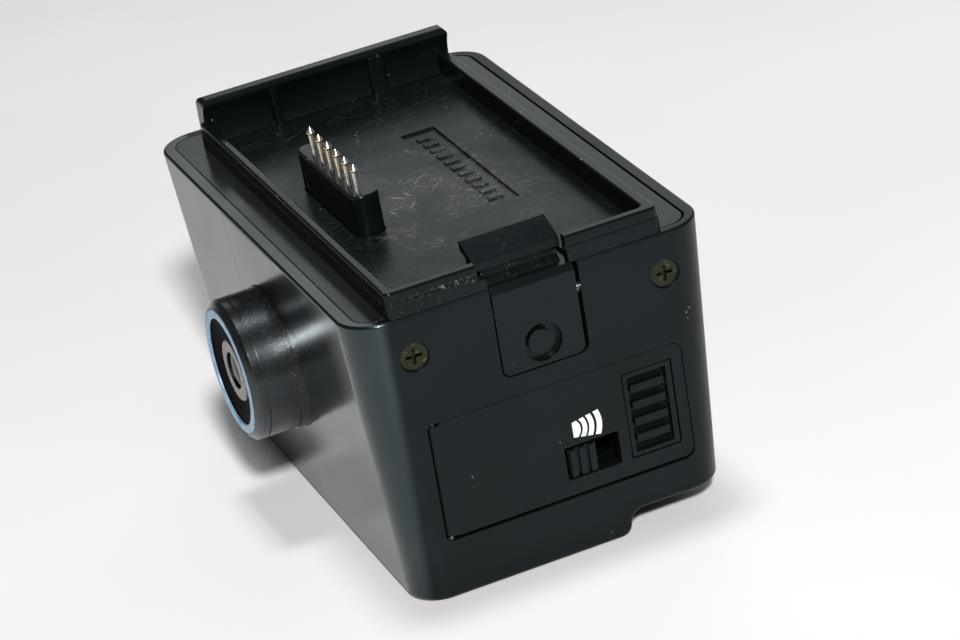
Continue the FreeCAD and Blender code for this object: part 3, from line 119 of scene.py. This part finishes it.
class Graph:
    """A material with one principled shader, and short calls for the nodes that feed it."""

    SOCKETS = {"color": "Base Color", "rough": "Roughness", "metal": "Metallic", "normal": "Normal",
               "coat": "Coat Weight", "specular": "Specular IOR Level", "tint": "Specular Tint"}

    def __init__(self, name):
        self.material = bpy.data.materials.new(name)
        self.material.use_nodes = True
        self.tree = self.material.node_tree
        self.tree.nodes.clear()
        self.shader = self.tree.nodes.new("ShaderNodeBsdfPrincipled")
        output = self.tree.nodes.new("ShaderNodeOutputMaterial")
        self.tree.links.new(self.shader.outputs[0], output.inputs[0])
        self.place = self.tree.nodes.new("ShaderNodeTexCoord").outputs["Object"]

    def node(self, kind, **settings):
        made = self.tree.nodes.new(kind)
        for key, value in settings.items():
            setattr(made, key, value)
        return made

    def feed(self, socket, value):
        """Links a socket to a node output, or sets it to a plain value."""
        if isinstance(value, bpy.types.NodeSocket):
            self.tree.links.new(value, socket)
        else:
            socket.default_value = value

    def math(self, operation, a, b=0.0, clamp=False):
        made = self.node("ShaderNodeMath", operation=operation, use_clamp=clamp)
        self.feed(made.inputs[0], a)
        self.feed(made.inputs[1], b)
        return made.outputs[0]

    def times(self, a, b):
        return self.math("MULTIPLY", a, b)

    def plus(self, a, b):
        return self.math("ADD", a, b)

    def minus(self, a, b):
        return self.math("SUBTRACT", a, b)

    def most(self, a, b):
        return self.math("MAXIMUM", a, b)

    def stretch(self, scale, turn=(0, 0, 0), shift=(0, 0, 0)):
        """Object coordinates turned first, and then stretched along the turned axes."""
        turned = self.node("ShaderNodeMapping")
        self.feed(turned.inputs["Vector"], self.place)
        turned.inputs["Rotation"].default_value = turn
        made = self.node("ShaderNodeMapping")
        self.feed(made.inputs["Vector"], turned.outputs[0])
        made.inputs["Location"].default_value = shift
        made.inputs["Scale"].default_value = scale
        return made.outputs[0]

    def noise(self, scale, detail=2.0, rough=0.5, place=None, distort=0.0):
        made = self.node("ShaderNodeTexNoise")
        self.feed(made.inputs["Vector"], self.place if place is None else place)
        made.inputs["Scale"].default_value = scale
        made.inputs["Detail"].default_value = detail
        made.inputs["Roughness"].default_value = rough
        made.inputs["Distortion"].default_value = distort
        return made.outputs["Fac"]

    def cells(self, scale):
        """Distance to the middle of the nearest random cell."""
        made = self.node("ShaderNodeTexVoronoi")
        self.feed(made.inputs["Vector"], self.place)
        made.inputs["Scale"].default_value = scale
        return made.outputs["Distance"]

    def span(self, value, low, high, out_low=0.0, out_high=1.0):
        """Smooth step of value from low to high."""
        made = self.node("ShaderNodeMapRange", interpolation_type="SMOOTHSTEP")
        self.feed(made.inputs["Value"], value)
        made.inputs["From Min"].default_value = low
        made.inputs["From Max"].default_value = high
        made.inputs["To Min"].default_value = out_low
        made.inputs["To Max"].default_value = out_high
        return made.outputs[0]

    def blend(self, share, a, b):
        made = self.node("ShaderNodeMix", data_type="RGBA")
        self.feed(made.inputs["Factor"], share)
        self.feed(made.inputs["A"], rgba(a))
        self.feed(made.inputs["B"], rgba(b))
        return made.outputs["Result"]

    def mottle(self, pattern, dark, pale, part=MIDDLE):
        """Colour that drifts from dark to pale as pattern rises through part of its range."""
        return self.blend(self.span(pattern, *part), dark, pale)

    def axes(self):
        made = self.node("ShaderNodeSeparateXYZ")
        self.feed(made.inputs[0], self.place)
        return made.outputs

    def near(self, centre, reach):
        """1 inside a soft box of half sizes reach about centre, in metres, and 0 outside it."""
        result = 1.0
        for socket, middle, half in zip(self.axes(), centre, reach):
            off = self.math("ABSOLUTE", self.minus(socket, middle))
            result = self.times(result, self.span(off, half * BOX_CORE, half, 1.0, 0.0))
        return result

    def edges(self, radius):
        """The rounded normal, and a mask that is 1 on sharp outer and inner edges."""
        rounded = self.node("ShaderNodeBevel", samples=6)
        rounded.inputs["Radius"].default_value = radius
        flat = self.node("ShaderNodeNewGeometry").outputs["Normal"]
        dot = self.node("ShaderNodeVectorMath", operation="DOT_PRODUCT")
        self.feed(dot.inputs[0], rounded.outputs[0])
        self.feed(dot.inputs[1], flat)
        return rounded.outputs[0], self.span(dot.outputs["Value"], *EDGE_COSINES)

    def bump(self, height, strength, distance, normal=None):
        made = self.node("ShaderNodeBump")
        made.inputs["Strength"].default_value = strength
        made.inputs["Distance"].default_value = distance
        self.feed(made.inputs["Height"], height)
        if normal is not None:
            self.feed(made.inputs["Normal"], normal)
        return made.outputs[0]

    def set(self, **values):
        for key, value in values.items():
            self.feed(self.shader.inputs[self.SOCKETS[key]], rgba(value))
        return self.material


# ---------------------------------------------------------------- shared surface effects
def dust(g, density, scale=900.0):
    """Mask of separate small specks. A higher density leaves more of them."""
    low, high = SPECK_CUT
    specks = g.span(g.cells(scale), *SPECK_RIM)
    patches = g.noise(scale * SPECK_PATCHES, 1.0, 0.5)
    return g.times(specks, g.span(patches, low - density, high - density))


def brassy_dust(g, tone, where, density, scale=1500.0, color=BRASSY):
    """Brassy specks over tone, where the mask is 1."""
    specks = g.times(dust(g, density, scale), where)
    return g.blend(g.times(specks, BRASSY_COVER), tone, color)


def scratches(g, turns, fineness, cut, bend=0.35):
    """Mask of fine, short, bent scratches in the XY plane, one set for each turn in radians."""
    total = 0.0
    for i, turn in enumerate(turns):
        scale = (fineness * SCRATCH_ALONG, fineness * SCRATCH_ACROSS, fineness)
        shift = (SCRATCH_SHIFT[0] * i, SCRATCH_SHIFT[1] * i, 0)
        lined = g.noise(1.0, 3.0, 0.65, g.stretch(scale, (0, 0, turn), shift), bend)
        total = g.most(total, g.span(lined, cut, cut + SCRATCH_RIM))
    return total


def moulded(name, color, rough, grain, grain_height, wear=0.25, specks=0.06, speck_color=SPECK,
            specular=0.3):
    """Moulded plastic: fine grain, patchy gloss, paler rubbed edges and a few dust specks."""
    g = Graph(name)
    rounded, edge = g.edges(MOULDED_EDGE)
    rubbed = g.times(edge, g.span(g.noise(420, 3, 0.6), *UPPER))
    darker = tuple(c * DARKER for c in color)
    paler = tuple(c * PALER for c in color)
    bare = tuple(min(1.0, c * BARE_GAIN + BARE_LIFT) for c in color)
    speck = dust(g, specks)
    tone = g.mottle(g.noise(90, 4, 0.6), darker, paler)
    tone = g.blend(g.times(rubbed, wear), tone, bare)
    tone = g.blend(g.times(speck, SPECK_COVER), tone, speck_color)
    handled = g.noise(34, 3, 0.55, distort=0.6)
    shine = g.plus(g.span(handled, 0.3, 0.75, rough - 0.05, rough + 0.06), g.times(speck, SPECK_ROUGH))
    height = g.plus(g.noise(grain, 2.5, 0.6), g.times(speck, SPECK_HEIGHT))
    g.parts = {"tone": tone, "rough": shine}
    g.set(color=tone, rough=shine, normal=g.bump(height, 0.6, grain_height * MM, rounded),
          specular=specular, tint=PLASTIC_TINT)
    return g


def housing_black():
    """Satin moulding, glossier on the lens side, with brassy dust where the lens barrel meets it."""
    g = moulded("housing_black", (0.0032, 0.0047, 0.0050), 0.34, 3800, 0.014, specular=0.19)
    tone = brassy_dust(g, g.parts["tone"], g.near(*ROUND_BARREL), 0.2)
    lens_side = g.span(g.axes()[0], *LENS_SIDE_X)
    shine = g.minus(g.parts["rough"], g.times(lens_side, 0.15))
    return g.set(color=tone, rough=shine, specular=g.plus(0.2, g.times(lens_side, 0.5)))


def cradle_black():
    """Glossy moulding: satin scratched bay floor with painted glints, white scuffs along the front rim,
    and a faint painted sheen on the lens-side strip.
    """
    g = moulded("cradle_black", (0.0036, 0.0052, 0.0055), 0.17, 2600, 0.005, wear=0.5, specks=0.09,
                speck_color=BAY_SPECK, specular=0.2)
    floor_area = g.near(*BAY_FLOOR)
    patch = g.times(g.near(*BAY_WORN), g.span(g.noise(120, 3, 0.6), 0.38, 0.62))
    lines = g.most(scratches(g, (0.35, 0.9, -0.5, 1.35, 2.2, 2.8), 330.0, 0.655),
                   scratches(g, (0.1, 0.7, 1.7, 2.5), 620.0, 0.645, 1.6))
    lined = g.times(lines, g.math("ADD", g.times(floor_area, 0.14), patch, clamp=True))
    # painted highlight: small pale glint spots on the worn patch of the bay floor
    glint = g.times(g.span(g.cells(2600), 0.24, 0.07), g.span(g.noise(300, 4, 0.7), 0.44, 0.58))
    scratches_and_glints = g.most(lined, g.times(glint, patch))
    scuff = g.times(g.near(*FRONT_RIM), g.span(g.noise(1700, 5, 0.8), 0.54, 0.66))
    marks_and_highlights = g.most(g.times(scratches_and_glints, 0.50), g.times(scuff, 0.45))
    marks_and_highlights = g.most(marks_and_highlights, g.times(patch, 0.026))
    # painted sheen: a faint pale lift along the plate's lens-side strip
    marks_and_highlights = g.most(marks_and_highlights, g.times(g.near(*LENS_SIDE_SHEEN_STRIP), 0.016))
    tone = g.blend(marks_and_highlights, g.parts["tone"], BAY_SCUFF_AND_HIGHLIGHT)
    tone = brassy_dust(g, tone, g.near(*LENS_SIDE_RIM), 0.16)
    satin = g.times(floor_area, g.span(g.noise(60, 3, 0.6), *MIDDLE, 0.165, 0.215))
    shine = g.plus(g.plus(g.parts["rough"], satin), g.times(marks_and_highlights, 0.3))
    return g.set(color=tone, rough=shine)


def latch_black():
    """Glossy moulding with white scuffs on the head and below it."""
    g = moulded("latch_black", (0.0036, 0.0052, 0.0056), 0.24, 3000, 0.005, wear=0.6, specular=0.22)
    nicks = g.times(g.span(g.cells(2400), 0.24, 0.08), g.span(g.noise(520, 3, 0.7), 0.5, 0.6))
    lines = g.most(scratches(g, (0.2, 1.1, 2.3), 760.0, 0.65, 1.4), nicks)
    scuffs = g.times(g.most(g.near(*LATCH_HEAD), g.near(*LATCH_NECK)), lines)
    patchy = g.times(scuffs, g.span(g.noise(330, 3, 0.6), 0.42, 0.66))
    tone = g.blend(g.times(patchy, 0.16), g.parts["tone"], LATCH_SCUFF)
    return g.set(color=tone, rough=g.plus(g.parts["rough"], g.times(scuffs, 0.2)))


def knob_black():
    return moulded("knob_black", (0.0045, 0.0065, 0.0070), 0.34, 3600, 0.009, wear=0.4,
                   specular=0.2).material


def inner_plastic():
    return moulded("inner_plastic", (0.0022, 0.0026, 0.0028), 0.45, 3600, 0.010, wear=0.1,
                   specular=0.1).material


def barrel_black():
    """Satin coating with metal flakes whose sparkle is painted as pale specks (painted glints), and
    brassy dust towards the camera body.
    """
    g = Graph("barrel_black")
    rounded, edge = g.edges(COATED_EDGE)
    cells = g.cells(4600)
    flake_glint = g.times(g.span(cells, 0.22, 0.06), g.span(g.noise(1500, 2.0), 0.42, 0.56))
    rubbed = g.times(edge, g.span(g.noise(700, 3), 0.4, 0.7))
    tone = g.mottle(g.noise(240, 3, 0.6), (0.0035, 0.0042, 0.0050), (0.0060, 0.0070, 0.0080))
    # painted glints: pale specks where the flake cells are
    tone = g.blend(g.times(flake_glint, 0.38), tone, (0.55, 0.60, 0.64))
    tone = g.blend(g.times(rubbed, 0.3), tone, (0.10, 0.10, 0.11))
    foot = g.span(g.axes()[0], *BARREL_FOOT_X)
    tone = brassy_dust(g, tone, foot, 0.20, 1700.0, BRASSY_ON_BARREL)
    turned = g.noise(1.0, 2.0, 0.5, g.stretch((5200, 160, 160)))
    height = g.plus(g.times(turned, 0.2), cells)
    return g.set(color=tone, rough=g.span(g.noise(120, 3), *MIDDLE, 0.25, 0.31), metal=0.1,
                 specular=0.85, tint=(0.86, 0.95, 1.0), normal=g.bump(height, 0.8, 0.012 * MM, rounded))


def ring_blue():
    """Pale blue anodised ring, grimy in patches, with painted highlights along its edges."""
    g = Graph("ring_blue")
    rounded, edge = g.edges(COATED_EDGE)
    tone = g.mottle(g.noise(700, 3), (0.19, 0.34, 0.50), (0.29, 0.46, 0.62), UPPER)
    # painted highlight: edges blended towards pale blue
    tone = g.blend(g.times(edge, 0.5), tone, (0.55, 0.80, 0.95))
    grime = g.times(g.span(g.noise(420, 4, 0.7), 0.56, 0.74), 0.3)
    tone = g.blend(grime, tone, (0.05, 0.06, 0.08))
    return g.set(color=tone, rough=g.span(g.noise(600, 2), *MIDDLE, 0.25, 0.4), metal=0.35,
                 normal=g.bump(g.noise(3500, 2), 0.3, 0.004 * MM, rounded))


def mask_black():
    """Matt black front face round the retainer, with a little dust."""
    g = Graph("mask_black")
    tone = g.mottle(g.noise(700, 3), (0.0012, 0.0012, 0.0014), (0.0035, 0.0035, 0.004), UPPER)
    tone = g.blend(g.times(dust(g, 0.14, 1300.0), 0.5), tone, (0.22, 0.22, 0.22))
    return g.set(color=tone, rough=0.55, specular=0.02, normal=g.bump(g.noise(4500, 2), 0.4, 0.004 * MM))


def retainer_grey():
    """Bare metal ring with fine turned lines, and painted shade: black inside the bore."""
    g = Graph("retainer_grey")
    axes = g.axes()
    beside, above = axes["Y"], g.minus(axes["Z"], LENS_AXIS_Z)
    from_axis = g.math("SQRT", g.plus(g.times(beside, beside), g.times(above, above)))
    rounded, edge = g.edges(METAL_EDGE)
    lines = g.noise(1.0, 2.0, 0.6, g.stretch((900, 2600, 2600)))
    tone = g.mottle(lines, (0.16, 0.157, 0.145), (0.32, 0.31, 0.285), UPPER)
    tone = g.blend(g.times(edge, 0.6), tone, (0.42, 0.41, 0.38))
    # painted shade: black inside the bore radius, where the bore wall lies in shade
    tone = g.blend(g.span(from_axis, *RETAINER_BORE_SHADE_R), tone, (0.003, 0.003, 0.003))
    return g.set(color=tone, rough=g.span(g.noise(900, 2), *MIDDLE, 0.3, 0.45), metal=0.6,
                 normal=g.bump(g.noise(3800, 2), 0.35, 0.005 * MM, rounded))


def lens_glass():
    """Dark coated glass: little gloss, with the green cast of its coating, and a faint smear."""
    g = Graph("lens_glass")
    smear = g.noise(380, 3, 0.6)
    tone = g.mottle(smear, (0.002, 0.004, 0.005), (0.005, 0.009, 0.010))
    return g.set(color=tone, rough=g.span(smear, 0.4, 0.8, 0.05, 0.14), specular=0.09,
                 tint=(0.35, 1.0, 0.65), normal=g.bump(smear, 0.05, 0.002 * MM))


def filter_glass():
    g = Graph("filter_glass")
    ripple = g.noise(300, 2)
    tone = g.mottle(ripple, (0.10, 0.28, 0.30), (0.14, 0.34, 0.36))
    return g.set(color=tone, rough=0.05, coat=1.0, normal=g.bump(ripple, 0.05, 0.002 * MM))


def worn_metal(name, color, worn, rough, line_scale=(900, 900, 900), coat_left=0.55):
    """Plated metal whose plating is thin in places, with turned or drawn lines."""
    g = Graph(name)
    rounded, edge = g.edges(METAL_EDGE)
    thin = g.most(g.span(g.noise(1100, 4, 0.65), coat_left, coat_left + 0.14), g.times(edge, 0.5))
    lines = g.noise(1.0, 3.0, 0.6, g.stretch(line_scale))
    plated = g.mottle(lines, tuple(c * 0.75 for c in color), color)
    tone = g.blend(thin, plated, worn)
    tone = g.blend(g.times(dust(g, 0.10, 1900.0), 0.6), tone, (0.06, 0.05, 0.04))
    return g.set(color=tone, metal=0.9, rough=g.span(lines, 0.25, 0.8, rough - 0.06, rough + 0.1),
                 normal=g.bump(lines, 0.5, 0.006 * MM, rounded))


def screw_bronze():
    return worn_metal("screw_bronze", (0.032, 0.037, 0.020), (0.085, 0.092, 0.052), 0.42,
                      (1500, 1500, 1500))


def screw_steel():
    return worn_metal("screw_steel", (0.42, 0.43, 0.44), (0.30, 0.29, 0.27), 0.30)


def pin_steel():
    return worn_metal("pin_steel", (0.45, 0.45, 0.46), (0.30, 0.29, 0.28), 0.25, (200, 4000, 4000))


def spring_steel():
    return worn_metal("spring_steel", (0.36, 0.36, 0.37), (0.24, 0.23, 0.22), 0.28, (3000, 600, 600))


def contact_gold():
    return worn_metal("contact_gold", (0.78, 0.64, 0.44), (0.70, 0.68, 0.64), 0.20, (900, 900, 5200),
                      0.44)


def socket_steel():
    return worn_metal("socket_steel", (0.62, 0.62, 0.63), (0.45, 0.44, 0.42), 0.22, (500, 3000, 500))


def print_white():
    """White print, worn thin in small spots."""
    g = Graph("print_white")
    thin = g.times(g.span(g.noise(1500, 3, 0.6), 0.62, 0.74), 0.5)
    tone = g.blend(thin, (0.80, 0.81, 0.80), (0.34, 0.35, 0.35))
    return g.set(color=tone, rough=g.span(g.noise(1000, 2), *MIDDLE, 0.45, 0.6),
                 normal=g.bump(g.noise(3800, 2), 0.4, 0.008 * MM))


def seal_rubber():
    g = Graph("seal_rubber")
    tone = g.mottle(g.noise(600, 3), (0.010, 0.010, 0.010), (0.022, 0.022, 0.022))
    return g.set(color=tone, rough=0.75, normal=g.bump(g.noise(3000, 2), 0.5, 0.01 * MM))


def circuit_board():
    """Solder mask over faint straight copper tracks."""
    g = Graph("circuit_board")
    tracks = g.node("ShaderNodeTexBrick", offset=0.37)
    g.feed(tracks.inputs["Vector"], g.stretch((160, 160, 160)))
    tracks.inputs["Scale"].default_value = 3.0
    tracks.inputs["Mortar Size"].default_value = 0.03
    tone = g.blend(tracks.outputs["Fac"], (0.010, 0.060, 0.022), (0.030, 0.125, 0.045))
    tone = g.blend(g.span(g.noise(500, 3), 0.5, 0.8, 0.0, 0.3), tone, (0.02, 0.05, 0.03))
    return g.set(color=tone, rough=0.28, coat=0.4, normal=g.bump(tracks.outputs["Fac"], 0.4, 0.02 * MM))


def chip_black():
    g = Graph("chip_black")
    tone = g.mottle(g.noise(2400, 3), (0.010, 0.010, 0.011), (0.024, 0.024, 0.025))
    return g.set(color=tone, rough=0.5, normal=g.bump(g.noise(4200, 2), 0.5, 0.01 * MM))


def sensor_face():
    g = Graph("sensor_face")
    tone = g.mottle(g.noise(500, 2), (0.020, 0.014, 0.034), (0.034, 0.024, 0.052))
    return g.set(color=tone, rough=0.08, coat=1.0, normal=g.bump(g.noise(400, 2), 0.05, 0.002 * MM))


def flex_film():
    """Amber film with fine conductor bands side by side along Y."""
    g = Graph("flex_film")
    bands = g.span(g.noise(1.0, 1.0, 0.5, g.stretch((200, 3500, 200))), 0.45, 0.55)
    tone = g.blend(bands, (0.36, 0.13, 0.02), (0.46, 0.20, 0.05))
    return g.set(color=tone, rough=0.3, normal=g.bump(bands, 0.3, 0.01 * MM))


def battery_wrap():
    g = Graph("battery_wrap")
    creases = g.noise(160, 4, 0.6, distort=0.8)
    tone = g.mottle(creases, (0.022, 0.070, 0.150), (0.034, 0.095, 0.190))
    return g.set(color=tone, rough=g.span(creases, *MIDDLE, 0.25, 0.4),
                 normal=g.bump(creases, 0.4, 0.06 * MM))


MAKERS = (housing_black, cradle_black, latch_black, knob_black, inner_plastic, barrel_black, ring_blue,
          mask_black, retainer_grey, lens_glass, filter_glass, screw_bronze, screw_steel, pin_steel,
          spring_steel, contact_gold, socket_steel, print_white, seal_rubber, circuit_board, chip_black,
          sensor_face, flex_film, battery_wrap)
MATERIALS = {make.__name__: make() for make in MAKERS}


def paint_cad_nodes():
    for part in frame["record"]["subparts"]:
        node = frame["nodes"][part["node"]]
        node.data.materials.clear()
        node.data.materials.append(MATERIALS[part["material_slot"]])


def put(name, data):
    """An object with this name and data, linked to the scene."""
    made = bpy.data.objects.new(name, data)
    bpy.context.scene.collection.objects.link(made)
    return made


# ---------------------------------------------------------------- contact springs
def coil_mesh(name, low, high):
    """Closed wire wound round the upright axis of the box from low to high."""
    centre_x, centre_y = (low[0] + high[0]) / 2, (low[1] + high[1]) / 2
    mean_r = (high[0] - low[0]) / 2 - COIL_WIRE_R
    first, rise = low[2] + COIL_WIRE_R, high[2] - low[2] - 2 * COIL_WIRE_R
    rings, sides = COIL_TURNS * COIL_STEPS, COIL_SIDES
    points = []
    for i in range(rings + 1):
        angle = 2 * math.pi * i / COIL_STEPS
        for k in range(sides):
            around = 2 * math.pi * k / sides
            r = mean_r + COIL_WIRE_R * math.cos(around)
            points.append((centre_x + r * math.cos(angle), centre_y + r * math.sin(angle),
                           first + rise * i / rings + COIL_WIRE_R * math.sin(around)))
    faces = [tuple(range(sides)), tuple(reversed(range(rings * sides, (rings + 1) * sides)))]
    for i in range(rings):
        for k in range(sides):
            a, b = i * sides + k, i * sides + (k + 1) % sides
            faces.append((a, a + sides, b + sides, b))
    mesh = bpy.data.meshes.new(name)
    mesh.from_pydata(points, [], faces)
    mesh.polygons.foreach_set("use_smooth", [True] * len(faces))
    return mesh


def contact_springs():
    """Wound springs in place of the plain tubes."""
    for i in range(1, CONTACTS + 1):
        node, name = "contact_spring_%d" % i, "contact_coil_%d" % i
        low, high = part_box(node)
        piece = put(name, coil_mesh(name, low, high))
        piece.data.materials.append(MATERIALS["spring_steel"])
        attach(piece, "body")
        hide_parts(node)
        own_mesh(piece)


# ---------------------------------------------------------------- floor, lights, camera
def floor():
    half = FLOOR_HALF
    mesh = bpy.data.meshes.new("floor")
    mesh.from_pydata([(-half, -half, 0), (half, -half, 0), (half, half, 0), (-half, half, 0)], [],
                     [(0, 1, 2, 3)])
    plane = put("floor", mesh)
    g = Graph("floor_pale")
    tone = g.mottle(g.noise(9, 3), (0.80, 0.785, 0.785), (0.84, 0.83, 0.83))
    mesh.materials.append(g.set(color=tone, rough=0.55, normal=g.bump(g.noise(700, 3), 0.15, 0.05 * MM)))


def area_light(name, place, diameter, power, color):
    data = bpy.data.lights.new(name, "AREA")
    data.shape = "DISK"
    data.size = diameter
    data.energy = power
    data.color = color
    lamp = put(name, data)
    lamp.location = place
    lamp.rotation_mode = "QUATERNION"
    lamp.rotation_quaternion = (Vector(place) - Vector(LAMP_AIM)).to_track_quat("Z", "Y")


def lights():
    for lamp in LAMPS:
        area_light(*lamp)
    world = bpy.data.worlds.new("studio")
    world.use_nodes = True
    background = world.node_tree.nodes["Background"]
    background.inputs["Color"].default_value = WORLD_COLOR
    background.inputs["Strength"].default_value = WORLD_STRENGTH
    bpy.context.scene.world = world


def camera():
    data = bpy.data.cameras.new("camera")
    data.sensor_width = CAMERA_SENSOR
    data.lens = CAMERA_LENS
    data.clip_start, data.clip_end = CAMERA_CLIP
    seat = put("camera", data)
    seat.location = CAMERA_PLACE
    seat.rotation_euler = CAMERA_TURN
    bpy.context.scene.camera = seat


paint_cad_nodes()
contact_springs()
floor()
lights()
camera()
bpy.context.scene.view_settings.view_transform = "Standard"
